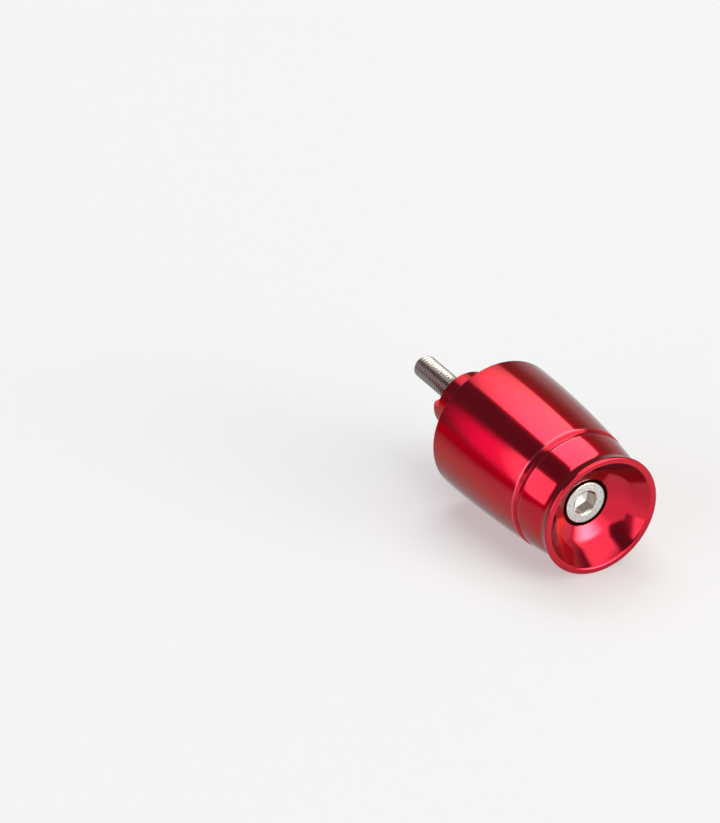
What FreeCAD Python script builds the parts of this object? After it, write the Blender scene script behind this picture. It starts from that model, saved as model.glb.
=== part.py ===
import FreeCAD, Part
import math
import os

# Bar end weight for a motorbike handlebar: a turned weight and the long cap screw through it.
# All sizes are in millimetres.
# +X is the bar's axis, pointing outboard, and +Z is up.
# The origin is the centre of the shoulder face that meets the end of the grip.

# Outer form of the weight
SHOULDER_RADIUS = 17.2      # widest part, beside the grip
SHOULDER_EDGE = 0.6         # round on the shoulder's outer edge
WAIST_X = 15.8              # a point halfway along the long swelling side
WAIST_RADIUS = 16.72
BODY_END_X = 31.2           # where the long side ends at the groove
BODY_END_RADIUS = 15.4
BODY_END_EDGE = 0.35        # round on the edge of the groove

# Groove round the weight
GROOVE_WALL_RUN = 0.75      # how far the inboard wall slopes along the axis
GROOVE_FLOOR_RADIUS = 14.68
GROOVE_FLOOR_WIDTH = 0.8
BAND_WALL_RUN = 0.6         # the outboard wall of the groove

# Outer band, from the groove to the lip
BAND_START_RADIUS = 15.02
BAND_START_EDGE = 0.25      # round on the edge of the groove
BAND_MID_X = 37.4
BAND_MID_RADIUS = 14.46
NECK_START_X = 40.0         # where the band starts to turn outwards into the lip's flare
NECK_START_RADIUS = 13.93
FLARE_MID_X = 42.0
FLARE_MID_RADIUS = 13.95
LIP_START_X = 43.55
LIP_RADIUS = 14.73
LIP_X = 44.3                # the outboard face, farthest from the shoulder
LIP_EDGE = 0.38             # round on the lip's outboard edge
LIP_START_EDGE = 0.8        # round between the flare and the lip

# Dish and counterbore in the outboard face
DISH_RADIUS = 13.3          # where the dish's straight wall starts, inside the lip
LIP_INNER_EDGE = 0.8
DISH_WALL_FOOT_X = 40.64    # where the straight wall ends and bends into the floor
DISH_WALL_FOOT_RADIUS = 10.38
DISH_BEND_X = 39.77         # a point halfway round that bend
DISH_BEND_RADIUS = 9.52
DISH_FLOOR_X = 39.08        # where the bend meets the floor, a shallow cone
DISH_FLOOR_RADIUS = 8.5
COUNTERBORE_RADIUS = 5.9
COUNTERBORE_X = 37.7        # mouth of the counterbore, at the foot of the dish

# Spigot that enters the bar, with two drive lugs on its end
SPIGOT_RADIUS = 7.9
SPIGOT_END_X = -13.4
LUG_HEIGHT = 2.3
LUG_WIDTH = 5.9
LUG_CHAMFER = 0.5
LUG_ANGLE = 197.0           # turn of the lugs about the axis, from +Y toward +Z

# Cap screw: metric six, sixty-five long under the head
HEAD_RADIUS = 5.06
HEAD_HEIGHT = 6.0
HEAD_CHAMFER = 0.18
SHANK_RADIUS = 2.98         # over the thread's crests
SHANK_LENGTH = 65.0
TIP_CHAMFER = 0.55
THREAD_PITCH = 1.0
THREAD_DEPTH = 0.58
THREAD_RINGS = 19           # rings from the tip to just inside the spigot
SOCKET_ACROSS_FLATS = 5.0
SOCKET_DEPTH = 3.2
SOCKET_LEAD_RADIUS = 3.15   # mouth of the cone that leads into the socket
SOCKET_FLOOR_DROP = 0.7     # depth of the drill point below the flats
SOCKET_ANGLE = 22.0         # turn of a corner of the hexagon, from +Y toward +Z

# Clearances between the screw and the weight
BORE_CLEARANCE = 0.32       # radial gap round the shank
HEAD_STANDOFF = 0.08        # how far the head's face stands out of the counterbore

# Sizes that follow from the ones above
BORE_RADIUS = SHANK_RADIUS + BORE_CLEARANCE
HEAD_FACE_X = COUNTERBORE_X + HEAD_STANDOFF
SEAT_X = HEAD_FACE_X - HEAD_HEIGHT
TIP_X = SEAT_X - SHANK_LENGTH
LUG_TIP_X = SPIGOT_END_X - LUG_HEIGHT
GROOVE_FLOOR_X = BODY_END_X + GROOVE_WALL_RUN
BAND_START_X = GROOVE_FLOOR_X + GROOVE_FLOOR_WIDTH + BAND_WALL_RUN

X_AXIS = FreeCAD.Vector(1, 0, 0)
CENTRE = FreeCAD.Vector(0, 0, 0)


def point(x, radius):
    """A point of the half section: along the axis, and out from it."""
    return FreeCAD.Vector(x, 0, radius)


def line(start, end):
    """A straight edge of the half section between two (x, radius) pairs."""
    return Part.makeLine(point(*start), point(*end))


def arc(start, middle, end):
    """A curved edge of the half section through three (x, radius) pairs."""
    return Part.Arc(point(*start), point(*middle), point(*end)).toShape()


def turned(edges):
    """Close the edges into a face and turn it once about the axis."""
    face = Part.Face(Part.Wire(edges))
    solid = face.revolve(CENTRE, X_AXIS, 360)
    return solid


def round_ring(solid, x, radius, size):
    """Round the circular edge of a turned solid that lies at x with this radius."""
    picked = []
    for edge in solid.Edges:
        if not isinstance(edge.Curve, Part.Circle):
            continue
        near_x = abs(edge.Curve.Center.x - x) < 1e-4
        near_radius = abs(edge.Curve.Radius - radius) < 1e-4
        if near_x and near_radius:
            picked.append(edge)
    return solid.makeFillet(size, picked)


def cylinder(start_x, end_x, radius):
    """A cylinder on the axis between two places along it."""
    return Part.makeCylinder(radius, end_x - start_x, point(start_x, 0), X_AXIS)


def cone(start_x, end_x, start_radius, end_radius):
    """A cone on the axis between two places along it."""
    return Part.makeCone(start_radius, end_radius, end_x - start_x, point(start_x, 0), X_AXIS)


def outer_blank():
    """The weight's outside as one turned solid, spigot included, without its hollows."""
    lug_tip_radius = SPIGOT_RADIUS - LUG_CHAMFER
    tip_axis = (LUG_TIP_X, 0)
    tip_corner = (LUG_TIP_X, lug_tip_radius)
    spigot_corner = (LUG_TIP_X + LUG_CHAMFER, SPIGOT_RADIUS)
    spigot_root = (0, SPIGOT_RADIUS)
    shoulder = (0, SHOULDER_RADIUS)
    waist = (WAIST_X, WAIST_RADIUS)
    body_end = (BODY_END_X, BODY_END_RADIUS)
    floor_start = (GROOVE_FLOOR_X, GROOVE_FLOOR_RADIUS)
    floor_end = (GROOVE_FLOOR_X + GROOVE_FLOOR_WIDTH, GROOVE_FLOOR_RADIUS)
    band_start = (BAND_START_X, BAND_START_RADIUS)
    band_mid = (BAND_MID_X, BAND_MID_RADIUS)
    neck = (NECK_START_X, NECK_START_RADIUS)
    flare_mid = (FLARE_MID_X, FLARE_MID_RADIUS)
    lip_start = (LIP_START_X, LIP_RADIUS)
    lip_end = (LIP_X, LIP_RADIUS)
    lip_axis = (LIP_X, 0)
    edges = [
        line(tip_axis, tip_corner),
        line(tip_corner, spigot_corner),
        line(spigot_corner, spigot_root),
        line(spigot_root, shoulder),
        arc(shoulder, waist, body_end),
        line(body_end, floor_start),
        line(floor_start, floor_end),
        line(floor_end, band_start),
        arc(band_start, band_mid, neck),
        arc(neck, flare_mid, lip_start),
        line(lip_start, lip_end),
        line(lip_end, lip_axis),
        line(lip_axis, tip_axis),
    ]
    blank = turned(edges)
    blank = round_ring(blank, 0, SHOULDER_RADIUS, SHOULDER_EDGE)
    blank = round_ring(blank, BODY_END_X, BODY_END_RADIUS, BODY_END_EDGE)
    blank = round_ring(blank, BAND_START_X, BAND_START_RADIUS, BAND_START_EDGE)
    blank = round_ring(blank, LIP_START_X, LIP_RADIUS, LIP_START_EDGE)
    blank = round_ring(blank, LIP_X, LIP_RADIUS, LIP_EDGE)
    return blank


def dish_cutter():
    """The hollow in the outboard face: a steep wall that bends into a shallow cone."""
    rim = (LIP_X, DISH_RADIUS)
    wall_foot = (DISH_WALL_FOOT_X, DISH_WALL_FOOT_RADIUS)
    bend = (DISH_BEND_X, DISH_BEND_RADIUS)
    floor = (DISH_FLOOR_X, DISH_FLOOR_RADIUS)
    foot = (COUNTERBORE_X, COUNTERBORE_RADIUS)
    edges = [
        line(rim, wall_foot),
        arc(wall_foot, bend, floor),
        line(floor, foot),
        line(foot, (COUNTERBORE_X, 0)),
        line((COUNTERBORE_X, 0), (LIP_X, 0)),
        line((LIP_X, 0), rim),
    ]
    return turned(edges)


def lug_waste():
    """The metal milled off the spigot's end on either side of the lugs."""
    depth = LUG_HEIGHT + 1
    reach = SPIGOT_RADIUS + 1
    waste = []
    for side in (-1, 1):
        near = LUG_WIDTH / 2
        low = near if side > 0 else -near - reach
        corner = FreeCAD.Vector(SPIGOT_END_X - depth, -reach, low)
        block = Part.makeBox(depth, 2 * reach, reach, corner)
        block.rotate(CENTRE, X_AXIS, LUG_ANGLE)
        waste.append(block)
    return waste


def weight_body():
    """The turned weight: body, groove, band, lip, dish, counterbore, bore and lugged spigot."""
    body = outer_blank()
    body = body.cut(dish_cutter())
    body = round_ring(body, LIP_X, DISH_RADIUS, LIP_INNER_EDGE)
    body = body.cut(cylinder(SEAT_X, COUNTERBORE_X, COUNTERBORE_RADIUS))
    body = body.cut(cylinder(LUG_TIP_X - 1, SEAT_X + 1, BORE_RADIUS))
    for block in lug_waste():
        body = body.cut(block)
    return body.removeSplitter()


def socket_cutter():
    """The hexagon socket with its lead-in cone and the drill point below it."""
    floor_x = HEAD_FACE_X - SOCKET_DEPTH
    corner_radius = SOCKET_ACROSS_FLATS / 2 / math.cos(math.pi / 6)
    corners = []
    for k in range(7):
        turn = math.radians(SOCKET_ANGLE + 60 * k)
        y = corner_radius * math.cos(turn)
        z = corner_radius * math.sin(turn)
        corners.append(FreeCAD.Vector(floor_x, y, z))
    hexagon = Part.Face(Part.makePolygon(corners))
    prism = hexagon.extrude(FreeCAD.Vector(SOCKET_DEPTH + 1, 0, 0))
    flat_radius = SOCKET_ACROSS_FLATS / 2
    drill = cone(floor_x - SOCKET_FLOOR_DROP, floor_x + 0.01, 0, flat_radius)
    lead_depth = (SOCKET_LEAD_RADIUS - flat_radius) * 0.7
    lead = cone(HEAD_FACE_X - lead_depth, HEAD_FACE_X, flat_radius, SOCKET_LEAD_RADIUS)
    return prism.fuse(drill).fuse(lead)


def thread_rings():
    """The corners of the thread on the free end, drawn as rings one pitch apart."""
    start_x = TIP_X + TIP_CHAMFER
    root_radius = SHANK_RADIUS - THREAD_DEPTH
    corners = [(start_x, SHANK_RADIUS)]
    for k in range(THREAD_RINGS):
        root_x = start_x + (k + 0.5) * THREAD_PITCH
        crest_x = start_x + (k + 1) * THREAD_PITCH
        corners.append((root_x, root_radius))
        corners.append((crest_x, SHANK_RADIUS))
    return corners


def cap_screw():
    """The socket cap screw. Past the rings of its free end it is a plain cylinder over the crests."""
    tip_radius = SHANK_RADIUS - TIP_CHAMFER
    face_radius = HEAD_RADIUS - HEAD_CHAMFER
    corners = [(TIP_X, 0), (TIP_X, tip_radius)]
    corners += thread_rings()
    corners += [
        (SEAT_X, SHANK_RADIUS),
        (SEAT_X, HEAD_RADIUS),
        (HEAD_FACE_X - HEAD_CHAMFER, HEAD_RADIUS),
        (HEAD_FACE_X, face_radius),
        (HEAD_FACE_X, 0),
        (TIP_X, 0),
    ]
    edges = []
    for start, end in zip(corners, corners[1:]):
        edges.append(line(start, end))
    screw = turned(edges)
    return screw.cut(socket_cutter())


def save(shape, name):
    """Write one part and print what was made."""
    solid = shape.Solids[0]
    box = solid.optimalBoundingBox()
    print(name, "solids", len(shape.Solids), "valid", solid.isValid())
    print("  x %.2f to %.2f, %.2f across" % (box.XMin, box.XMax, box.YLength))
    solid.exportStep("parts/" + name + ".step")


os.makedirs("parts", exist_ok=True)
save(weight_body(), "weight_body")
save(cap_screw(), "cap_screw")
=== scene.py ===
# %% [markdown]
# # A motorbike's bar end weight
#
# This weight closes the end of a handlebar and damps its shaking. It is two pieces: a body turned from
# aluminium bar and anodised red, and the long stainless cap screw that runs through it and pulls up a nut
# inside the bar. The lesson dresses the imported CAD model: it turns both pieces finely enough for glossy
# metal, cuts a real thread, and lights them as a photographer lights polished parts.

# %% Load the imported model
import math

import bmesh
import bpy
from mathutils import Matrix, Vector


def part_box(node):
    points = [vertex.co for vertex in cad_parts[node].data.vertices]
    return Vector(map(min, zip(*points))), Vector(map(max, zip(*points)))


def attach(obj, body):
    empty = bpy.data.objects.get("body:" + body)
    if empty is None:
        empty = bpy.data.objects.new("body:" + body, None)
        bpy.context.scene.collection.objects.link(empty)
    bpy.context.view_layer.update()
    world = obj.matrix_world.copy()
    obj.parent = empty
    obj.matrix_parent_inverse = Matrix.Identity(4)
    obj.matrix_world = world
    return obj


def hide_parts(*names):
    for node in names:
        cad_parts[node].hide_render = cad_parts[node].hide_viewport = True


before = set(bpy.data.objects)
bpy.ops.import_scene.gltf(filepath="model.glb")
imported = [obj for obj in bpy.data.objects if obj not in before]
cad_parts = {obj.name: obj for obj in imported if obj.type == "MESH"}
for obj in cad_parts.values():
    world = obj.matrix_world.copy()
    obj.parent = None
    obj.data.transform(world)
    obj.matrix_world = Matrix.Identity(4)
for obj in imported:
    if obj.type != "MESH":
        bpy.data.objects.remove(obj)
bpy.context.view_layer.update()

MM = 0.001

# %% [markdown]
# ## Sizes
#
# +X is the turned axis and points outboard, the origin is the centre of the shoulder that meets the grip,
# and +Z is up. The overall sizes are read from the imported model. The steps between them are the turner's
# own sizes, written here once in metres.

# %% Overall sizes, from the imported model
body_low, body_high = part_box("weight_body")
screw_low, screw_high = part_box("cap_screw")
LUG_TIP_X = body_low.x
LIP_X = body_high.x
SHOULDER_RADIUS = body_high.y
TIP_X = screw_low.x
HEAD_FACE_X = screw_high.x
print("weight %.1f mm across, screw %.1f mm long" % (
    2 * SHOULDER_RADIUS / MM, (HEAD_FACE_X - TIP_X) / MM))

# %% Sizes of the weight
SHOULDER_EDGE = 0.15 * MM
WAIST = (15.8 * MM, 16.72 * MM)
BODY_END = (31.2 * MM, 15.4 * MM)
BODY_END_EDGE = 0.35 * MM
GROOVE_FLOOR_RADIUS = 14.68 * MM
GROOVE_FLOOR = (31.95 * MM, 32.75 * MM)
BAND_START = (33.35 * MM, 15.02 * MM)
BAND_START_EDGE = 0.45 * MM
BAND_MID = (37.4 * MM, 14.46 * MM)
NECK = (40.0 * MM, 13.93 * MM)
FLARE_MID = (42.0 * MM, 13.95 * MM)
LIP_START_X = 43.55 * MM
LIP_RADIUS = 14.73 * MM
LIP_EDGE = 0.38 * MM
LIP_START_EDGE = 0.8 * MM
DISH_RADIUS = 13.3 * MM
DISH_EDGE = 0.8 * MM
DISH_WALL_MID = (42.39 * MM, 11.897 * MM)
DISH_WALL_FOOT = (40.57 * MM, 10.38 * MM)
DISH_BEND = (39.741 * MM, 9.506 * MM)
DISH_FLOOR = (39.08 * MM, 8.5 * MM)
COUNTERBORE = (37.7 * MM, 5.9 * MM)
BORE_RADIUS = 3.3 * MM
SPIGOT_RADIUS = 7.9 * MM
SPIGOT_END_X = -13.4 * MM
LUG_CHAMFER = 0.5 * MM
LUG_WIDTH = 5.9 * MM
LUG_TURN = math.radians(197.0)
BROKEN_EDGE = 0.08 * MM         # a file's touch on edges that have no rounding of their own

# %% Sizes of the screw
HEAD_RADIUS = 5.06 * MM
HEAD_HEIGHT = 6.0 * MM
HEAD_EDGE = 0.18 * MM
SEAT_EDGE = 0.2 * MM
SEAT_X = HEAD_FACE_X - HEAD_HEIGHT
KNURL_RIDGES = 60
KNURL_DEPTH = 0.14 * MM
KNURL_LOW_X = SEAT_X + 0.3 * MM
KNURL_HIGH_X = HEAD_FACE_X - 1.0 * MM
CREST_RADIUS = 2.98 * MM
PITCH = 1.0 * MM
THREAD_DEPTH = 0.58 * MM
TIP_CHAMFER = 0.55 * MM
KEY_SIZE = 5.0 * MM
SOCKET_DEPTH = 3.2 * MM
SOCKET_LEAD_RADIUS = 3.15 * MM
SOCKET_LEAD_SLOPE = 0.7         # how deep the lead goes for each unit that it closes in
SOCKET_DROP = 0.7 * MM          # the point of the drill, under the hexagon
SOCKET_TURN = math.radians(22.0)

# %% [markdown]
# ## A section to turn
#
# A lathe makes a form from one outline, so the outline is drawn first: straight runs, arcs through three
# points, and a round at each corner. On polished metal a highlight shows every wobble of the surface
# normals, so a run gets a guard point close to each of its ends. It keeps the bend of a small round from
# spreading over the long face beside it.

# %% Draw an outline
GUARD = 0.05 * MM
SAME_PLACE = 1e-9       # metres: two points this close are one
ROUND_STEPS = 8


def straight(start, end):
    """A straight run between two (x, radius) pairs."""
    return [Vector(start), Vector(end)]


def arc_points(centre, radius, start, end, steps):
    """Points on the shorter arc from start to end, both included."""
    first = math.atan2(start.y - centre.y, start.x - centre.x)
    sweep = math.remainder(math.atan2(end.y - centre.y, end.x - centre.x) - first, math.tau)
    points = []
    for k in range(steps + 1):
        angle = first + sweep * k / steps
        points.append(centre + radius * Vector((math.cos(angle), math.sin(angle))))
    return points


def arc_through(start, middle, end, steps):
    """A run along the circle through three (x, radius) pairs."""
    a, b, c = Vector(start), Vector(middle), Vector(end)
    ab, ac = b - a, c - a
    twice_area = 2 * (ab.x * ac.y - ab.y * ac.x)
    centre = a + Vector((
        (ac.y * ab.length_squared - ab.y * ac.length_squared) / twice_area,
        (ab.x * ac.length_squared - ac.x * ab.length_squared) / twice_area))
    return arc_points(centre, (a - centre).length, a, c, steps)


def round_corner(before, after, radius):
    """Cut both runs back from their corner, and return the points of the arc that joins them."""
    corner = before[-1]
    back = (before[-2] - corner).normalized()
    ahead = (after[1] - corner).normalized()
    half = back.angle(ahead) / 2
    reach = radius / math.tan(half)
    centre = corner + (back + ahead).normalized() * radius / math.sin(half)
    start = corner + back * reach
    end = corner + ahead * reach
    before[:] = [p for p in before if (p - corner).length > reach] + [start]
    after[:] = [end] + [p for p in after if (p - corner).length > reach]
    return arc_points(centre, radius, start, end, ROUND_STEPS)[1:-1]


def guarded(run):
    """The run with a point close to each end, where its neighbour is far away."""
    result = list(run)
    if (result[1] - result[0]).length > 3 * GUARD:
        result.insert(1, result[0] + (result[1] - result[0]).normalized() * GUARD)
    if (result[-2] - result[-1]).length > 3 * GUARD:
        result.insert(-1, result[-1] + (result[-2] - result[-1]).normalized() * GUARD)
    return result


def outline(runs, rounds, closed):
    """Join runs into one list of points. rounds gives the corner after each run."""
    arcs = []
    for k, radius in enumerate(rounds):
        after = runs[(k + 1) % len(runs)]
        arcs.append(round_corner(runs[k], after, radius) if radius else [])
    points = []
    for k, run in enumerate(runs):
        points += [p for p in guarded(run) if not points or (p - points[-1]).length > SAME_PLACE]
        points += arcs[k] if k < len(arcs) else []
    if closed:
        points.append(points[0].copy())
    return points


print("outline tools ready, guard points %.2f mm from the corners" % (GUARD / MM))

# %% [markdown]
# ## A lathe made of Geometry Nodes
#
# The tree takes the outline's points and lays a grid over the surface: one row for each point, one column
# for each step round the axis. Each grid point looks up its outline point and is turned about X. Merging
# close points then shuts the seam and the poles. A Screw modifier would do the same, but the grid keeps
# the rows in order and the tree can be read as the rule it is.

# %% Small helpers for node trees
MERGE_DISTANCE = 0.0005 * MM


def add_node(tree, kind, values=(), **settings):
    """A node with its settings, and with values for its first sockets."""
    made = tree.nodes.new(kind)
    for name, value in settings.items():
        setattr(made, name, value)
    for socket, value in zip(made.inputs, values):
        feed(tree, socket, value)
    return made


def feed(tree, socket, value):
    """Link another node's output to the socket, or write a constant on it."""
    if isinstance(value, bpy.types.NodeSocket):
        tree.links.new(value, socket)
    elif value is not None:
        socket.default_value = value


def maths(tree, operation, *values):
    """The result of a Math node."""
    return add_node(tree, "ShaderNodeMath", values, operation=operation).outputs[0]


def remapped(tree, value, low, high, new_low, new_high, fade="LINEAR"):
    """The value carried from the range low to high onto a new range, and held inside it."""
    ranged = add_node(
        tree, "ShaderNodeMapRange", (value, low, high, new_low, new_high), interpolation_type=fade)
    return ranged.outputs[0]


def split(tree, vector):
    """A vector's x, y and z."""
    return add_node(tree, "ShaderNodeSeparateXYZ", (vector,)).outputs


def from_axis(tree, y, z):
    """The distance from the turned axis."""
    return maths(tree, "SQRT", maths(
        tree, "ADD", maths(tree, "MULTIPLY", y, y), maths(tree, "MULTIPLY", z, z)))


def new_geometry_tree(name, inputs):
    """An empty Geometry Nodes tree with named inputs, and its two end nodes."""
    tree = bpy.data.node_groups.new(name, "GeometryNodeTree")
    tree.interface.new_socket("Geometry", in_out="INPUT", socket_type="NodeSocketGeometry")
    for label, kind in inputs:
        tree.interface.new_socket(label, in_out="INPUT", socket_type="NodeSocket" + kind)
    tree.interface.new_socket("Geometry", in_out="OUTPUT", socket_type="NodeSocketGeometry")
    return tree, tree.nodes.new("NodeGroupInput").outputs, tree.nodes.new("NodeGroupOutput").inputs


def close_and_finish(tree, geometry, material, result):
    """Shut seams and poles, shade smooth, and end as the export needs it."""
    merged = add_node(tree, "GeometryNodeMergeByDistance", (geometry,))
    merged.inputs["Distance"].default_value = MERGE_DISTANCE
    smooth = add_node(tree, "GeometryNodeSetShadeSmooth", (merged.outputs[0],))
    real = add_node(tree, "GeometryNodeRealizeInstances", (smooth.outputs[0],))
    painted = add_node(tree, "GeometryNodeSetMaterial", (real.outputs[0],))
    feed(tree, painted.inputs["Material"], material)
    feed(tree, result["Geometry"], painted.outputs[0])


def grid_rows_and_columns(tree, rows, columns):
    """A grid mesh, with the row and the column that each of its points is in."""
    grid = add_node(tree, "GeometryNodeMeshGrid")
    feed(tree, grid.inputs["Vertices X"], rows)
    feed(tree, grid.inputs["Vertices Y"], columns)
    index = add_node(tree, "GeometryNodeInputIndex").outputs[0]
    row = maths(tree, "FLOOR", maths(tree, "DIVIDE", maths(tree, "ADD", index, 0.5), columns))
    column = maths(tree, "SUBTRACT", index, maths(tree, "MULTIPLY", row, columns))
    return grid.outputs["Mesh"], row, column


# %% The lathe tree
def lathe_tree():
    """A surface of revolution: the input's points in order, turned about X."""
    tree, given, result = new_geometry_tree(
        "lathe", [("Sides", "Int"), ("Material", "Material")])
    size = add_node(tree, "GeometryNodeAttributeDomainSize", (given["Geometry"],))
    columns = maths(tree, "ADD", given["Sides"], 1)
    grid, row, column = grid_rows_and_columns(tree, size.outputs["Point Count"], columns)
    place = add_node(tree, "GeometryNodeInputPosition").outputs[0]
    looked_up = add_node(tree, "GeometryNodeSampleIndex", data_type="FLOAT_VECTOR")
    feed(tree, looked_up.inputs["Geometry"], given["Geometry"])
    feed(tree, looked_up.inputs["Value"], place)
    feed(tree, looked_up.inputs["Index"], row)
    step = maths(tree, "DIVIDE", math.tau, given["Sides"])
    turned = add_node(tree, "ShaderNodeVectorRotate", rotation_type="X_AXIS")
    feed(tree, turned.inputs["Vector"], looked_up.outputs["Value"])
    feed(tree, turned.inputs["Angle"], maths(tree, "MULTIPLY", column, step))
    moved = add_node(tree, "GeometryNodeSetPosition", (grid,))
    feed(tree, moved.inputs["Position"], turned.outputs[0])
    close_and_finish(tree, moved.outputs[0], given["Material"], result)
    return tree


LATHE = lathe_tree()
print("lathe tree:", len(LATHE.nodes), "nodes")

# %% Run a tree on a piece
CREASE = math.radians(28)       # a bend sharper than this is a true edge


def new_piece(name, points=(), edges=(), faces=()):
    """A mesh object at the origin."""
    mesh = bpy.data.meshes.new(name)
    mesh.from_pydata([tuple(p) for p in points], list(edges), list(faces))
    piece = bpy.data.objects.new(name, mesh)
    bpy.context.scene.collection.objects.link(piece)
    return piece


def keep_result(piece):
    """Make what the modifiers show the piece's own plain mesh."""
    shown = piece.evaluated_get(bpy.context.evaluated_depsgraph_get())
    mesh = bpy.data.meshes.new_from_object(shown)
    piece.modifiers.clear()
    piece.data = mesh


def run_tree(piece, tree, **values):
    """Run a Geometry Nodes tree on a piece. An input's name has _ for each space."""
    modifier = piece.modifiers.new(tree.name, "NODES")
    modifier.node_group = tree
    for item in tree.interface.items_tree:
        key = item.name.replace(" ", "_")
        if item.in_out == "INPUT" and key in values:
            modifier[item.identifier] = values[key]
    keep_result(piece)


def turn_section(name, points, sides, material):
    """Turn a list of (x, radius) points into a closed solid."""
    piece = new_piece(name, [(p.x, 0, p.y) for p in points])
    run_tree(piece, LATHE, Sides=sides, Material=material)
    return piece


def cut_away(piece, cutter):
    """Take the cutter's volume off the piece, as a mill or drill does."""
    boolean = piece.modifiers.new("cut", "BOOLEAN")
    boolean.object = cutter
    boolean.operation = "DIFFERENCE"
    boolean.solver = "EXACT"
    keep_result(piece)
    bpy.data.objects.remove(cutter)


def finish_mesh(piece):
    """Point the faces outwards, and keep only the true edges sharp."""
    shape = bmesh.new()
    shape.from_mesh(piece.data)
    bmesh.ops.remove_doubles(shape, verts=shape.verts, dist=MERGE_DISTANCE)
    bmesh.ops.recalc_face_normals(shape, faces=shape.faces)
    for edge in shape.edges:
        edge.smooth = len(edge.link_faces) == 2 and edge.calc_face_angle() < CREASE
    open_edges = sum(1 for edge in shape.edges if len(edge.link_faces) != 2)
    for face in shape.faces:
        face.smooth = True
    volume = shape.calc_volume(signed=True)
    shape.to_mesh(piece.data)
    shape.free()
    piece.data.calc_loop_triangles()
    print("%s: %d triangles, %d open edges, %.0f cubic mm" % (
        piece.name, len(piece.data.loop_triangles), open_edges, volume / MM ** 3))


# %% [markdown]
# ## Finishes
#
# Two effects serve both metals, so each is a shader node group with its own values in each material.
# Turning marks are the fine rings that the tool leaves, and follow the distance along the axis and out
# from it. Grain is the fine unevenness of an etched or tumbled surface. Both read Object coordinates in
# metres, so they stay on the metal when the piece is moved.

# %% Group: turning marks
RING_SLANT = 1.7        # how much faster the rings follow the radius than the axis


def new_shader_group(name, given, results):
    """An empty shader group with one named number in and named numbers out."""
    group = bpy.data.node_groups.new(name, "ShaderNodeTree")
    group.interface.new_socket(given, in_out="INPUT", socket_type="NodeSocketFloat")
    for label in results:
        group.interface.new_socket(label, in_out="OUTPUT", socket_type="NodeSocketFloat")
    value = group.nodes.new("NodeGroupInput").outputs[given]
    return group, value, group.nodes.new("NodeGroupOutput").inputs


def place_on_piece(tree):
    """Where the shaded point is, in Object coordinates."""
    return add_node(tree, "ShaderNodeTexCoord").outputs["Object"]


def noise(tree, scale, detail, place):
    """Soft noise over the piece, around 0.5."""
    made = add_node(tree, "ShaderNodeTexNoise", (place,))
    feed(tree, made.inputs["Scale"], scale)
    made.inputs["Detail"].default_value = detail
    return made.outputs["Fac"]


def turning_marks_group():
    group, spacing, result = new_shader_group("turning marks", "Ring Spacing", ["Height"])
    x, y, z = split(group, place_on_piece(group))
    along = maths(group, "ADD", x, maths(group, "MULTIPLY", from_axis(group, y, z), RING_SLANT))
    rings = add_node(group, "ShaderNodeTexNoise", noise_dimensions="1D")
    feed(group, rings.inputs["W"], maths(group, "DIVIDE", along, spacing))
    rings.inputs["Scale"].default_value = 1.0
    rings.inputs["Detail"].default_value = 2.0
    feed(group, result["Height"], rings.outputs["Fac"])
    return group


# %% Group: grain
CLOUDS_PER_METRE = 90.0


def grain_group():
    group, fineness, result = new_shader_group(
        "metal grain", "Grains per Metre", ["Height", "Cloud"])
    place = place_on_piece(group)
    feed(group, result["Height"], noise(group, fineness, 3.0, place))
    feed(group, result["Cloud"], noise(group, CLOUDS_PER_METRE, 3.0, place))
    return group


TURNING_MARKS = turning_marks_group()
GRAIN = grain_group()
print("shader groups:", TURNING_MARKS.name, "and", GRAIN.name)

# %% [markdown]
# ## Anodised red and stainless steel
#
# Anodised aluminium is a metal seen through a dyed, clear skin of oxide. A metallic Principled BSDF gives
# the deep red mirror. A thin clear coat gives the pink that white lamps leave on top of it, and the grey
# of the sides that are seen at a low angle. A paler colour along the edges of the groove paints highlight
# lines there. Where the red is seen in a reflection, as the dish's walls see each other, painted shade
# makes it a darker red, and it turns rougher. The screw is plain stainless steel, tumbled to a satin:
# mottled on the face of its head, a darker tone on the thread, painted shade in its socket and darkest on
# the socket's flats, and a painted highlight on the drill's point and wherever a reflection shows the
# socket.

# %% Material helpers
NOISE_RANGE = (0.3, 0.7)        # where most of a noise texture's values fall


def new_material(name):
    """A material with its tree and its Principled BSDF."""
    material = bpy.data.materials.new(name)
    material.use_nodes = True
    return material, material.node_tree, material.node_tree.nodes["Principled BSDF"]


def use_group(tree, group, value):
    """Place a shader node group and set its one input."""
    placed = add_node(tree, "ShaderNodeGroup", node_tree=group)
    placed.inputs[0].default_value = value
    return placed.outputs


def spread(tree, value, low, high):
    """Stretch a noise texture's usual range from low to high."""
    return remapped(tree, value, *NOISE_RANGE, low, high)


def mixed(tree, share, colour, other):
    """A colour, and the other one where the share is 1. Both are constants or outputs."""
    mix = add_node(tree, "ShaderNodeMix", data_type="RGBA")
    for label, value in (("Factor", share), ("A", colour), ("B", other)):
        feed(tree, mix.inputs[label], value)
    return mix.outputs["Result"]


def glossy_bounce(tree):
    """1 where the surface is seen in another glossy surface, 0 where it is seen first."""
    depth = add_node(tree, "ShaderNodeLightPath").outputs["Glossy Depth"]
    return maths(tree, "GREATER_THAN", depth, 0.5)


def bumped(tree, heights):
    """A normal from (height, distance in metres) pairs, stacked."""
    normal = None
    for height, distance in heights:
        bump = add_node(tree, "ShaderNodeBump")
        feed(tree, bump.inputs["Strength"], 1.0)
        feed(tree, bump.inputs["Distance"], distance)
        feed(tree, bump.inputs["Height"], height)
        feed(tree, bump.inputs["Normal"], normal)
        normal = bump.outputs["Normal"]
    return normal


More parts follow.
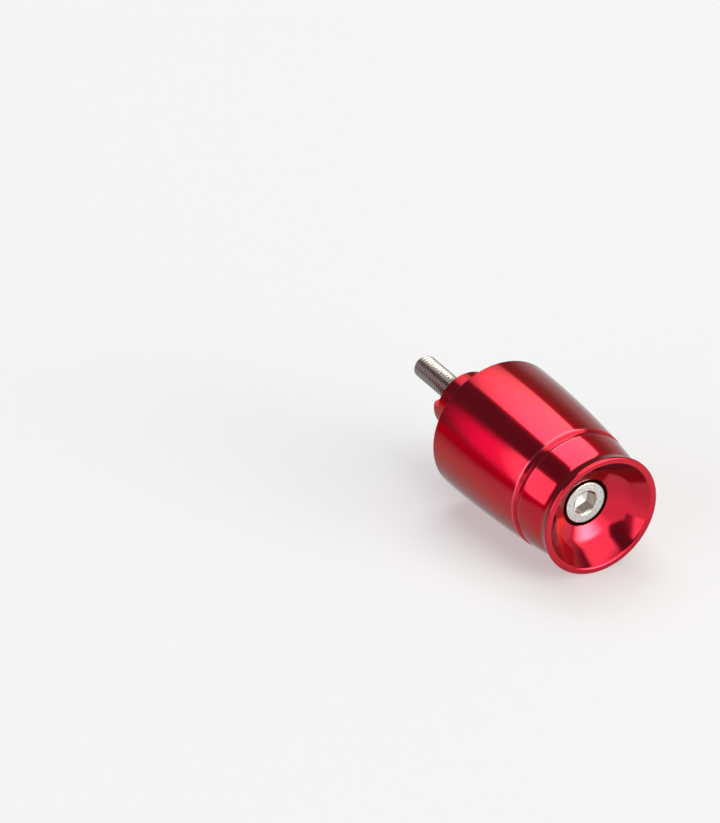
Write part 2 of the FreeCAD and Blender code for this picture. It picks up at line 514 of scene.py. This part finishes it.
# %% Anodised red
RED_DYE = ((0.64, 0.0004, 0.025, 1), (0.70, 0.0006, 0.031, 1))
# painted highlight: the paler colour laid along the groove's two edges
PAINTED_EDGE_HIGHLIGHT = (1.0, 0.15, 0.19, 1)
PAINTED_HIGHLIGHT_EDGES = (BODY_END[0], 33.36 * MM)
PAINTED_HIGHLIGHT_REACH = (0.12 * MM, 0.32 * MM)         # where it starts to fade, and where it ends
PAINTED_HIGHLIGHT_SHARE = 0.6
# painted shade: the darker red that the metal shows in reflections of itself
PAINTED_BOUNCE_SHADE = (0.36, 0.02, 0.06, 1)
RED_COAT = {"Coat Weight": 1.0, "Coat IOR": 1.36, "Coat Roughness": 0.1}
RED_GLANCE = (0.3, 0.15, 0.15, 1)               # what is left of the mirror at a low angle


def anodised_red_material():
    material, tree, shader = new_material("anodised_red")
    marks = use_group(tree, TURNING_MARKS, 0.06 * MM)
    grain = use_group(tree, GRAIN, 9000.0)
    colour = mixed(tree, spread(tree, grain["Cloud"], 0.0, 1.0), *RED_DYE)

    # a paler colour along the groove's two turned edges paints highlight lines on them
    x = split(tree, place_on_piece(tree))[0]
    gap = 1.0
    for edge in PAINTED_HIGHLIGHT_EDGES:
        gap = maths(tree, "MINIMUM", gap, maths(
            tree, "ABSOLUTE", maths(tree, "SUBTRACT", x, edge)))
    edge_highlight = remapped(tree, gap, *PAINTED_HIGHLIGHT_REACH, PAINTED_HIGHLIGHT_SHARE, 0, fade="SMOOTHSTEP")
    colour = mixed(tree, edge_highlight, colour, PAINTED_EDGE_HIGHLIGHT)

    # painted shade: where the red is seen in a reflection, as the dish's walls see each other, it takes a
    # darker red and a rougher finish
    again = glossy_bounce(tree)
    feed(tree, shader.inputs["Base Color"], mixed(tree, again, colour, PAINTED_BOUNCE_SHADE))
    feed(tree, shader.inputs["Roughness"], maths(
        tree, "ADD", spread(tree, grain["Cloud"], 0.13, 0.16), maths(tree, "MULTIPLY", again, 0.45)))
    shader.inputs["Metallic"].default_value = 1.0
    shader.inputs["Specular Tint"].default_value = RED_GLANCE
    for label, value in RED_COAT.items():
        shader.inputs[label].default_value = value
    feed(tree, shader.inputs["Normal"], bumped(
        tree, [(marks["Height"], 0.0006 * MM), (grain["Height"], 0.0008 * MM)]))
    return material


# %% Stainless steel
STEEL_TONES = ((0.58, 0.55, 0.52, 1), (0.95, 0.92, 0.89, 1))
STEEL_THREAD_TONE_AND_SOCKET_SHADE = (0.37, 0.345, 0.33, 1)           # a darker tone on the thread, and painted shade in the socket
# painted shade on the socket's flats, and a painted highlight in the socket
PAINTED_FLATS_SHADE = (0.3, 0.26, 0.225, 1)
PAINTED_SOCKET_HIGHLIGHT = (0.92, 0.9, 0.88, 1)


def stainless_material():
    material, tree, shader = new_material("stainless_steel")
    marks = use_group(tree, TURNING_MARKS, 0.12 * MM)
    grain = use_group(tree, GRAIN, 2200.0)
    colour = mixed(tree, spread(tree, grain["Height"], 0.0, 1.0), *STEEL_TONES)

    # darker steel near the axis under the head's face: a plain darker tone on the thread, painted shade in
    # the socket
    x, y, z = split(tree, place_on_piece(tree))
    near_axis = maths(tree, "LESS_THAN", from_axis(tree, y, z), SOCKET_LEAD_RADIUS)
    under_face = maths(tree, "LESS_THAN", x, HEAD_FACE_X - 0.1 * MM)
    colour = mixed(tree, maths(tree, "MULTIPLY", near_axis, under_face), colour, STEEL_THREAD_TONE_AND_SOCKET_SHADE)

    # painted shade on the socket's flats where they are seen directly, and a painted highlight on the
    # drill's point and on the whole socket where a reflection shows it
    again = glossy_bounce(tree)
    first = maths(tree, "SUBTRACT", 1, again)
    over_floor = maths(tree, "GREATER_THAN", x, HEAD_FACE_X - SOCKET_DEPTH + 0.05 * MM)
    under_lead = maths(tree, "LESS_THAN", x, HEAD_FACE_X - 0.3 * MM)
    flats = maths(tree, "MULTIPLY", near_axis, maths(tree, "MULTIPLY", over_floor, under_lead))
    colour = mixed(tree, maths(tree, "MULTIPLY", flats, first), colour, PAINTED_FLATS_SHADE)
    in_head = maths(tree, "GREATER_THAN", x, HEAD_FACE_X - SOCKET_DEPTH - SOCKET_DROP - 0.1 * MM)
    bright = maths(tree, "MULTIPLY", maths(tree, "MULTIPLY", near_axis, in_head), maths(
        tree, "MAXIMUM", again, maths(tree, "SUBTRACT", 1, over_floor)))
    feed(tree, shader.inputs["Base Color"], mixed(tree, bright, colour, PAINTED_SOCKET_HIGHLIGHT))

    on_thread = maths(tree, "LESS_THAN", x, SEAT_X)
    feed(tree, shader.inputs["Roughness"], maths(
        tree, "ADD", spread(tree, grain["Height"], 0.2, 0.28), maths(tree, "MULTIPLY", on_thread, 0.02)))
    shader.inputs["Metallic"].default_value = 1.0
    feed(tree, shader.inputs["Normal"], bumped(
        tree, [(marks["Height"], 0.0006 * MM), (grain["Height"], 0.0005 * MM)]))
    return material


ANODISED_RED = anodised_red_material()
STAINLESS = stainless_material()
print("finishes:", ANODISED_RED.name, "and", STAINLESS.name)

# %% [markdown]
# ## The weight
#
# The body swells gently to the shoulder. A groove parts it from the outer band, which necks in and flares
# to a rounded lip. The face is a dish with a counterbore for the screw's head. All of it is one closed
# outline, and the spigot's end is then milled down on both sides to leave two drive lugs.

# %% The weight's outline
def weight_outline():
    lug_corner = (LUG_TIP_X, SPIGOT_RADIUS - LUG_CHAMFER)
    lug_side = (LUG_TIP_X + LUG_CHAMFER, SPIGOT_RADIUS)
    root = (0, SPIGOT_RADIUS)
    shoulder = (0, SHOULDER_RADIUS)
    floor_start = (GROOVE_FLOOR[0], GROOVE_FLOOR_RADIUS)
    floor_end = (GROOVE_FLOOR[1], GROOVE_FLOOR_RADIUS)
    lip_start = (LIP_START_X, LIP_RADIUS)
    lip_end = (LIP_X, LIP_RADIUS)
    rim = (LIP_X, DISH_RADIUS)
    seat_edge = (SEAT_X, COUNTERBORE[1])
    bore_start = (SEAT_X, BORE_RADIUS)
    bore_end = (LUG_TIP_X, BORE_RADIUS)
    steps = [
        (straight(root, shoulder), SHOULDER_EDGE),
        (arc_through(shoulder, WAIST, BODY_END, 48), BODY_END_EDGE),
        (straight(BODY_END, floor_start), BROKEN_EDGE),
        (straight(floor_start, floor_end), BROKEN_EDGE),
        (straight(floor_end, BAND_START), BAND_START_EDGE),
        (arc_through(BAND_START, BAND_MID, NECK, 24), 0),
        (arc_through(NECK, FLARE_MID, lip_start, 20), LIP_START_EDGE),
        (straight(lip_start, lip_end), LIP_EDGE),
        (straight(lip_end, rim), DISH_EDGE),
        (arc_through(rim, DISH_WALL_MID, DISH_WALL_FOOT, 24), 0),
        (arc_through(DISH_WALL_FOOT, DISH_BEND, DISH_FLOOR, 16), 0),
        (straight(DISH_FLOOR, COUNTERBORE), BROKEN_EDGE),
        (straight(COUNTERBORE, seat_edge), BROKEN_EDGE),
        (straight(seat_edge, bore_start), BROKEN_EDGE),
        (straight(bore_start, bore_end), BROKEN_EDGE),
        (straight(bore_end, lug_corner), BROKEN_EDGE),
        (straight(lug_corner, lug_side), BROKEN_EDGE),
        (straight(lug_side, root), BROKEN_EDGE),
    ]
    return outline([run for run, _ in steps], [size for _, size in steps], closed=True)


# %% Turn the weight and mill its lugs
WEIGHT_SIDES = 288
MILL_CLEARANCE = 1.0 * MM


def waste_block(side):
    """The metal beside the lugs, on one side of the axis."""
    reach = SPIGOT_RADIUS + MILL_CLEARANCE
    low = LUG_WIDTH / 2 if side > 0 else -reach
    high = reach if side > 0 else -LUG_WIDTH / 2
    block = new_piece("waste")
    shape = bmesh.new()
    bmesh.ops.create_cube(shape, size=1)
    for vert in shape.verts:
        vert.co.x = SPIGOT_END_X if vert.co.x > 0 else LUG_TIP_X - MILL_CLEARANCE
        vert.co.y *= 2 * reach
        vert.co.z = high if vert.co.z > 0 else low
    bmesh.ops.rotate(shape, verts=shape.verts, matrix=Matrix.Rotation(LUG_TURN, 3, "X"))
    shape.to_mesh(block.data)
    shape.free()
    block.data.materials.append(ANODISED_RED)
    return block


def make_weight():
    section = weight_outline()
    piece = turn_section("weight_body_turned", section, WEIGHT_SIDES, ANODISED_RED)
    for side in (-1, 1):
        cut_away(piece, waste_block(side))
    finish_mesh(piece)
    print("  from an outline of", len(section), "points")
    return piece


weight = make_weight()

# %% [markdown]
# ## The screw's thread
#
# A metric thread is a ridge that climbs one pitch for each turn, so it follows a rule too. The tree lays a
# grid whose rows follow the helix: a row climbs one pitch on its way round and meets the row of the next
# turn. The row's place in the pitch gives the height of the thread, with a flat crest and a wider flat
# root. Past each end the radius falls to nothing, which closes the bar and gives the tip its chamfer.

# %% The thread tree
PITCHES_BEFORE = 2      # spare pitches past the start of the thread
PITCHES_SPARE = 5       # and past both ends together


def thread_tree():
    """A threaded bar along X, from Start X down to Tip X."""
    sizes = [
        ("Start X", "Float"), ("Tip X", "Float"), ("Crest Radius", "Float"), ("Depth", "Float"),
        ("Pitch", "Float"), ("Tip Chamfer", "Float"), ("Rows per Pitch", "Int"), ("Sides", "Int"),
        ("Material", "Material")]
    tree, given, result = new_geometry_tree("thread", sizes)
    length = maths(tree, "SUBTRACT", given["Start X"], given["Tip X"])
    pitches = maths(tree, "ADD", maths(tree, "DIVIDE", length, given["Pitch"]), PITCHES_SPARE)
    rows = maths(tree, "MULTIPLY", pitches, given["Rows per Pitch"])
    columns = maths(tree, "ADD", given["Sides"], 1)
    grid, row, column = grid_rows_and_columns(tree, rows, columns)
    turn = maths(tree, "DIVIDE", column, given["Sides"])
    climb = maths(tree, "DIVIDE", row, given["Rows per Pitch"])

    # how far along the axis, in metres: rows run from beyond the start to beyond the tip
    first = maths(tree, "ADD", given["Start X"], maths(
        tree, "MULTIPLY", given["Pitch"], PITCHES_BEFORE))
    travelled = maths(tree, "MULTIPLY", maths(tree, "SUBTRACT", climb, turn), given["Pitch"])
    raw_x = maths(tree, "SUBTRACT", first, travelled)

    # the thread's height in the pitch: an eighth of flat crest, a quarter of flat root
    ramp = maths(tree, "MULTIPLY", maths(
        tree, "ABSOLUTE", maths(tree, "SUBTRACT", maths(tree, "FRACT", climb), 0.5)), 2)
    flank = remapped(tree, ramp, 1 / 4, 7 / 8, 0, 1)
    sunk = maths(tree, "MULTIPLY", given["Depth"], maths(tree, "SUBTRACT", 1, flank))
    threaded = maths(tree, "SUBTRACT", given["Crest Radius"], sunk)

    # the chamfer at the tip, then the flat ends
    tip_radius = maths(tree, "SUBTRACT", given["Crest Radius"], given["Tip Chamfer"])
    past_tip = maths(tree, "SUBTRACT", raw_x, given["Tip X"])
    chamfered = maths(tree, "ADD", tip_radius, maths(tree, "MAXIMUM", past_tip, 0))
    radius = maths(tree, "MINIMUM", threaded, chamfered)
    spare = maths(tree, "SUBTRACT", given["Start X"], raw_x)
    outside = maths(tree, "MINIMUM", maths(tree, "MINIMUM", past_tip, spare), 0)
    left = maths(tree, "ADD", maths(tree, "DIVIDE", outside, given["Pitch"]), 1)
    radius = maths(tree, "MULTIPLY", radius, maths(tree, "MAXIMUM", left, 0))
    x = maths(tree, "MINIMUM", maths(tree, "MAXIMUM", raw_x, given["Tip X"]), given["Start X"])

    angle = maths(tree, "MULTIPLY", turn, math.tau)
    y = maths(tree, "MULTIPLY", radius, maths(tree, "COSINE", angle))
    z = maths(tree, "MULTIPLY", radius, maths(tree, "SINE", angle))
    place = add_node(tree, "ShaderNodeCombineXYZ", (x, y, z))
    moved = add_node(tree, "GeometryNodeSetPosition", (grid,))
    feed(tree, moved.inputs["Position"], place.outputs[0])
    close_and_finish(tree, moved.outputs[0], given["Material"], result)
    return tree


THREAD = thread_tree()
print("thread tree:", len(THREAD.nodes), "nodes")

# %% Cut the thread
def make_shank():
    piece = new_piece("shank")
    run_tree(
        piece, THREAD, Start_X=SEAT_X + PITCH, Tip_X=TIP_X, Crest_Radius=CREST_RADIUS,
        Depth=THREAD_DEPTH, Pitch=PITCH, Tip_Chamfer=TIP_CHAMFER, Rows_per_Pitch=14, Sides=56,
        Material=STAINLESS)
    finish_mesh(piece)
    return piece


shank = make_shank()

# %% [markdown]
# ## The screw's head
#
# The head is turned as the weight is, from an outline that starts and ends on the axis. Its side has the
# fine straight knurl of a cap screw, which a tree presses in as ridges round the axis. The hexagon socket
# is then broached into it: a short cone that leads the key in, six flats, and the point of the drill.

# %% The knurl tree
def knurl_tree():
    """Ridges pressed into the side of a turned piece, between Low X and High X."""
    sizes = [
        ("Ridges", "Int"), ("Depth", "Float"), ("Low X", "Float"), ("High X", "Float"),
        ("Inner Radius", "Float"), ("Material", "Material")]
    tree, given, result = new_geometry_tree("knurl", sizes)
    place = add_node(tree, "GeometryNodeInputPosition").outputs[0]
    x, y, z = split(tree, place)
    radius = from_axis(tree, y, z)
    angle = maths(tree, "ARCTAN2", z, y)
    wave = maths(tree, "COSINE", maths(tree, "MULTIPLY", angle, given["Ridges"]))
    sunk = maths(tree, "MULTIPLY", maths(tree, "SUBTRACT", 1, wave), 0.5)
    inside = maths(tree, "MULTIPLY", maths(tree, "GREATER_THAN", x, given["Low X"]), maths(
        tree, "LESS_THAN", x, given["High X"]))
    inside = maths(tree, "MULTIPLY", inside, maths(
        tree, "GREATER_THAN", radius, given["Inner Radius"]))
    press = maths(tree, "MULTIPLY", maths(tree, "MULTIPLY", sunk, inside), given["Depth"])
    share = maths(tree, "SUBTRACT", 1, maths(
        tree, "DIVIDE", press, maths(tree, "MAXIMUM", radius, 1e-6)))
    pressed = add_node(tree, "ShaderNodeCombineXYZ", (
        x, maths(tree, "MULTIPLY", y, share), maths(tree, "MULTIPLY", z, share)))
    moved = add_node(tree, "GeometryNodeSetPosition", (given["Geometry"],))
    feed(tree, moved.inputs["Position"], pressed.outputs[0])
    close_and_finish(tree, moved.outputs[0], given["Material"], result)
    return tree


KNURL = knurl_tree()
print("knurl tree:", len(KNURL.nodes), "nodes")

# %% Cutters for the socket
CUTTER_SIDES = 96


def turned_cutter(points):
    """A turned cutter from (x, radius) pairs, its faces outwards."""
    cutter = turn_section("cutter", [Vector(p) for p in points], CUTTER_SIDES, STAINLESS)
    finish_mesh(cutter)
    return cutter


def hexagon_cutter(start_x, end_x):
    """A six-sided bar, a key's size across its flats."""
    corner_radius = KEY_SIZE / 2 / math.cos(math.pi / 6)
    points = []
    for x in (start_x, end_x):
        for k in range(6):
            angle = SOCKET_TURN + k * math.pi / 3
            points.append((x, corner_radius * math.cos(angle), corner_radius * math.sin(angle)))
    sides = [(k, k + 6, (k + 1) % 6 + 6, (k + 1) % 6) for k in range(6)]
    ends = [tuple(range(6)), tuple(range(11, 5, -1))]
    cutter = new_piece("hexagon", points, faces=sides + ends)
    cutter.data.materials.append(STAINLESS)
    finish_mesh(cutter)
    return cutter


# %% Turn, knurl and broach the head
HEAD_SIDES = 360
OVERSHOOT = 0.5 * MM            # how far a cutter stands out of the face
CUTTER_LAP = 0.02 * MM          # how far the drill's point reaches up into the hexagon


def make_head():
    face_edge = (HEAD_FACE_X, HEAD_RADIUS)
    seat_edge = (SEAT_X, HEAD_RADIUS)
    runs = [
        straight((SEAT_X, 0), seat_edge), straight(seat_edge, face_edge),
        straight(face_edge, (HEAD_FACE_X, 0))]
    points = outline(runs, [SEAT_EDGE, HEAD_EDGE], closed=False)
    piece = turn_section("cap_screw_threaded", points, HEAD_SIDES, STAINLESS)
    run_tree(
        piece, KNURL, Ridges=KNURL_RIDGES, Depth=KNURL_DEPTH, Low_X=KNURL_LOW_X,
        High_X=KNURL_HIGH_X, Inner_Radius=HEAD_RADIUS - 0.1 * MM, Material=STAINLESS)
    flat = KEY_SIZE / 2
    lead = (SOCKET_LEAD_RADIUS - flat) * SOCKET_LEAD_SLOPE
    lead_x = HEAD_FACE_X - lead
    out_x = HEAD_FACE_X + OVERSHOOT
    mouth = flat + (lead + OVERSHOOT) / SOCKET_LEAD_SLOPE
    cut_away(piece, turned_cutter([(lead_x, 0), (lead_x, flat), (out_x, mouth), (out_x, 0)]))
    floor_x = HEAD_FACE_X - SOCKET_DEPTH
    lap_x = floor_x + CUTTER_LAP
    cut_away(piece, hexagon_cutter(floor_x, out_x))
    cut_away(piece, turned_cutter([(floor_x - SOCKET_DROP, 0), (lap_x, flat), (lap_x, 0)]))
    finish_mesh(piece)
    return piece


screw = make_head()

# %% Join the shank to the head
def join_meshes(piece, other):
    """Add the other piece's mesh to the first, and remove the other."""
    shape = bmesh.new()
    shape.from_mesh(piece.data)
    shape.from_mesh(other.data)
    shape.to_mesh(piece.data)
    shape.free()
    bpy.data.objects.remove(other)


join_meshes(screw, shank)
print(screw.name, "has", len(screw.data.polygons), "faces")

# %% [markdown]
# ## Put the pieces on the frame
#
# Each piece stands for the CAD node of the same metal, which stays in the model for collision, hidden.
# Both ride on the one body.

# %% Ride and replace
for piece, node, slot in (
        (weight, "weight_body", "anodised_red"), (screw, "cap_screw", "stainless_steel")):
    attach(piece, "root")
    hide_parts(node)
    print(piece.name, "stands for", node)

# %% [markdown]
# ## The studio
#
# The weight lies on its side, so it touches the floor at the shoulder and at the lip, and the floor is the
# plane through both. Polished metal shows its surroundings more than its own colour, so the lamps are
# large and soft-edged, and the gaps between them make the dark stripes. A bar lies parallel to the
# weight's axis, so the two angles that it fills round the axis set the two edges of one stripe. A panel
# is placed by the direction in which the metal sees it: the azimuth from the camera, positive to its
# right, and the elevation above the floor. Two of the bars are red. They make the glow on the left side
# and the deep edge of the broad stripe, where the metal shows its own red and no white.

# %% The floor
REST_SHOULDER = (SHOULDER_EDGE, -SHOULDER_RADIUS)
REST_LIP = (LIP_X - LIP_EDGE, -LIP_RADIUS)
FLOOR_HALF_WIDTH = 6.0
PAPER_WHITE = 0.922
PAPER_TINTS = ((0.765, 0.773, 0.788, 1), (0.785, 0.793, 0.808, 1))
CAMERA_GLOW = 0.4               # how much of the paper's look to the camera is its own white

tilt = math.atan2(REST_LIP[1] - REST_SHOULDER[1], REST_LIP[0] - REST_SHOULDER[0])
FLOOR_ALONG = Vector((math.cos(tilt), 0, math.sin(tilt)))
FLOOR_UP = Vector((-math.sin(tilt), 0, math.cos(tilt)))
FLOOR_POINT = Vector((REST_SHOULDER[0], 0, REST_SHOULDER[1]))
ACROSS = Vector((0, 1, 0))


def grey(value):
    """An opaque grey."""
    return (value, value, value, 1)


print("floor tilts %.2f degrees" % math.degrees(tilt))

# %% How mirrors see the floor
SHADED = 0.6                    # the paper's level close to the weight
SHADED_BESIDE = 0.8             # its level farther out on the right
BRIGHT_AHEAD = (45 * MM, 65 * MM)
BRIGHT_BESIDE = (0, 40 * MM)
RED_LEFT = (-38 * MM, -110 * MM)
RED_BEHIND = (0, -40 * MM)
RED_FAR = (-60 * MM, -160 * MM)
# painted reflection: the reds that mirrors see in the floor far behind on the left
PAINTED_REFLECTION_REDS = ((0.36, 0.01, 0.06, 1), (0.52, 0.01, 0.12, 1))


def mirrored_floor(tree, place):
    """Painted shadow beside the weight, pale ahead of it, and a deep red painted reflection far behind on
    the left.
    """
    along, across, _ = split(tree, place)
    level = maths(
        tree, "MAXIMUM", remapped(tree, along, *BRIGHT_AHEAD, SHADED, PAPER_WHITE),
        remapped(tree, across, *BRIGHT_BESIDE, SHADED, SHADED_BESIDE))
    pale = add_node(tree, "ShaderNodeCombineXYZ", (level, level, level)).outputs[0]
    deep = mixed(tree, remapped(tree, across, *RED_FAR, 0, 1), *PAINTED_REFLECTION_REDS)
    red = maths(
        tree, "MULTIPLY", remapped(tree, across, *RED_LEFT, 0, 1),
        remapped(tree, along, *RED_BEHIND, 0, 1))
    return mixed(tree, red, pale, deep)


def floor_material():
    """White paper: a camera sees it near its own white, and shadows fall on it. Mirrors see a painted
    shadow in it beside the weight, and a painted red reflection that deepens the metal's colour along its
    left side."""
    material, tree, shader = new_material("studio_paper")
    place = place_on_piece(tree)
    fibres = add_node(tree, "ShaderNodeTexNoise", (place,))
    fibres.inputs["Scale"].default_value = 400.0
    feed(tree, shader.inputs["Base Color"], mixed(tree, fibres.outputs["Fac"], *PAPER_TINTS))
    shader.inputs["Roughness"].default_value = 0.9
    shader.inputs["Specular IOR Level"].default_value = 0.0
    rays = add_node(tree, "ShaderNodeLightPath").outputs
    mirrored = maths(tree, "MAXIMUM", rays["Is Glossy Ray"], rays["Is Transmission Ray"])
    glow = add_node(tree, "ShaderNodeEmission", (
        mixed(tree, mirrored, grey(PAPER_WHITE), mirrored_floor(tree, place)),))
    share = maths(
        tree, "MAXIMUM", mirrored, maths(tree, "MULTIPLY", rays["Is Camera Ray"], CAMERA_GLOW))
    mix = add_node(tree, "ShaderNodeMixShader", (share, shader.outputs[0], glow.outputs[0]))
    feed(tree, tree.nodes["Material Output"].inputs["Surface"], mix.outputs[0])
    return material


# %% Lay the floor
def make_floor():
    corners = []
    for u, v in ((-1, -1), (1, -1), (1, 1), (-1, 1)):
        corners.append(
            FLOOR_POINT + FLOOR_ALONG * FLOOR_HALF_WIDTH * u + ACROSS * FLOOR_HALF_WIDTH * v)
    floor = new_piece("studio_floor", corners, faces=[(0, 1, 2, 3)])
    floor.data.materials.append(floor_material())
    print(floor.name, "is", 2 * FLOOR_HALF_WIDTH, "m wide")


make_floor()

# %% The camera
CAMERA_PLACE = Vector((0.48368, -0.31853, 0.33959))
CAMERA_TARGET = Vector((-0.00960, -0.03131, 0.00771))
CAMERA_UP = Vector((-0.03858, 0, 0.99926))
CAMERA_LENS = 125.67            # millimetres, as the sensor's width is
CAMERA_SENSOR = 36.0
NEAREST_SEEN = 10 * MM


def set_in_studio(name, data, place, right, up):
    """A camera or a lamp at a place, turned so that right and up are its own."""
    thing = bpy.data.objects.new(name, data)
    bpy.context.scene.collection.objects.link(thing)
    turn = Matrix((right, up, right.cross(up))).transposed().to_4x4()
    thing.matrix_world = Matrix.Translation(place) @ turn
    return thing


def make_camera():
    data = bpy.data.cameras.new("camera")
    data.lens = CAMERA_LENS
    data.sensor_width = CAMERA_SENSOR
    data.clip_start = NEAREST_SEEN
    back = (CAMERA_PLACE - CAMERA_TARGET).normalized()
    right = CAMERA_UP.cross(back).normalized()
    bpy.context.scene.camera = set_in_studio("camera", data, CAMERA_PLACE, right, back.cross(right))


make_camera()
print("camera %.0f mm from the weight" % (CAMERA_PLACE.length / MM))

# %% The lamps
LAMP_DISTANCE = 3.0
WHITE = (1.0, 1.0, 1.0)
FRONT = (CAMERA_PLACE - FLOOR_UP * CAMERA_PLACE.dot(FLOOR_UP)).normalized()
RIGHT = FLOOR_UP.cross(FRONT).normalized()


def studio_direction(azimuth, elevation):
    """The direction at an azimuth from the camera and an elevation, in degrees."""
    a, e = math.radians(azimuth), math.radians(elevation)
    level = FRONT * math.cos(a) + RIGHT * math.sin(a)
    return level * math.cos(e) + FLOOR_UP * math.sin(e)


def soften_lamp(tree, softness):
    """Fade a lamp toward its edges, as the cloth of a softbox does. softness is the share of its
    width, and of its height, over which it fades at each edge."""
    level = 1.0
    for part, soft in zip(split(tree, add_node(
            tree, "ShaderNodeNewGeometry").outputs["Parametric"]), softness):
        inset = maths(tree, "MINIMUM", part, maths(tree, "SUBTRACT", 1, part))
        level = maths(
            tree, "MULTIPLY", level, remapped(tree, inset, 0, soft, 0, 1, fade="SMOOTHSTEP"))
    feed(tree, tree.nodes["Emission"].inputs["Strength"], level)


def place_lamp(name, centre, right, up, size, radiance, softness, colour):
    """A rectangular lamp, lit on the side that right and up turn away from."""
    data = bpy.data.lights.new(name, "AREA")
    data.shape = "RECTANGLE"
    data.size, data.size_y = size
    data.energy = math.pi * size[0] * size[1] * radiance
    data.color = colour
    data.use_nodes = True
    soften_lamp(data.node_tree, softness)
    set_in_studio(name, data, centre, right, up)
    print("%s: %.1f by %.1f m" % (name, size[0], size[1]))


def add_panel(name, facing, angles, radiance, softness, colour=WHITE):
    """A lamp that faces the weight from an azimuth and an elevation, and fills two angles."""
    back = studio_direction(*facing)
    right = FLOOR_UP.cross(back).normalized()
    size = [2 * LAMP_DISTANCE * math.tan(math.radians(angle) / 2) for angle in angles]
    place_lamp(
        name, back * LAMP_DISTANCE, right, back.cross(right), size, radiance, softness, colour)


def add_bar(name, turns, slants, radiance, softness, colour=WHITE):
    """A lamp parallel to the weight's axis. turns are the two angles round the axis, from +Y
    upwards, and slants say how far it reaches along the axis, in lamp distances."""
    middle = math.radians(sum(turns) / 2)
    half = math.radians(turns[1] - turns[0]) / 2
    back = ACROSS * math.cos(middle) + FLOOR_UP * math.sin(middle)
    centre = back * LAMP_DISTANCE + FLOOR_ALONG * LAMP_DISTANCE * sum(slants) / 2
    size = (LAMP_DISTANCE * (slants[1] - slants[0]), 2 * LAMP_DISTANCE * math.tan(half))
    place_lamp(
        name, centre, FLOOR_ALONG, back.cross(FLOOR_ALONG), size, radiance, softness, colour)


# %% The stripes along the weight
add_bar("bar_overhead", turns=(51, 106), slants=(-1.25, 0.35), radiance=3.2, softness=(0.44, 0.05))
add_bar(
    "bar_overhead_side", turns=(26, 60), slants=(-1.25, 0.35), radiance=0.24, softness=(0.3, 0.45),
    colour=(1.0, 0.0, 0.15))
add_bar("bar_behind", turns=(-30, 42), slants=(-1.8, 1.0), radiance=0.52, softness=(0.2, 0.5))
add_bar("bar_left", turns=(139, 181), slants=(-0.71, 0.7), radiance=1.7, softness=(0.06, 0.05))
add_bar(
    "bar_left_red", turns=(137, 186), slants=(-1.05, -0.52), radiance=1.15, softness=(0.5, 0.35),
    colour=(1.0, 0.0, 0.5))

# %% The patches in the dish
add_panel("panel_front", facing=(4, 5), angles=(48, 20), radiance=0.8, softness=(0.1, 0.3))
add_panel("panel_right", facing=(54, 30), angles=(70, 76), radiance=1.45, softness=(0.15, 0.15))
add_panel(
    "panel_right_hot", facing=(60, 11), angles=(56, 34), radiance=12.5, softness=(0.5, 0.5),
    colour=(1.0, 1.0, 0.75))

# %% The world
ROOM_GREY = 0.13


def make_world():
    """A dim room, which only the camera sees as white as the paper."""
    world = bpy.data.worlds.new("studio_room")
    world.use_nodes = True
    bpy.context.scene.world = world
    tree = world.node_tree
    room = tree.nodes["Background"]
    room.inputs["Color"].default_value = grey(ROOM_GREY)
    seen = add_node(tree, "ShaderNodeBackground", (grey(PAPER_WHITE),))
    camera_ray = add_node(tree, "ShaderNodeLightPath").outputs["Is Camera Ray"]
    mix = add_node(tree, "ShaderNodeMixShader", (camera_ray, room.outputs[0], seen.outputs[0]))
    feed(tree, tree.nodes["World Output"].inputs["Surface"], mix.outputs[0])
    print("room at a grey of", ROOM_GREY)


make_world()
bpy.context.scene.view_settings.view_transform = "Standard"
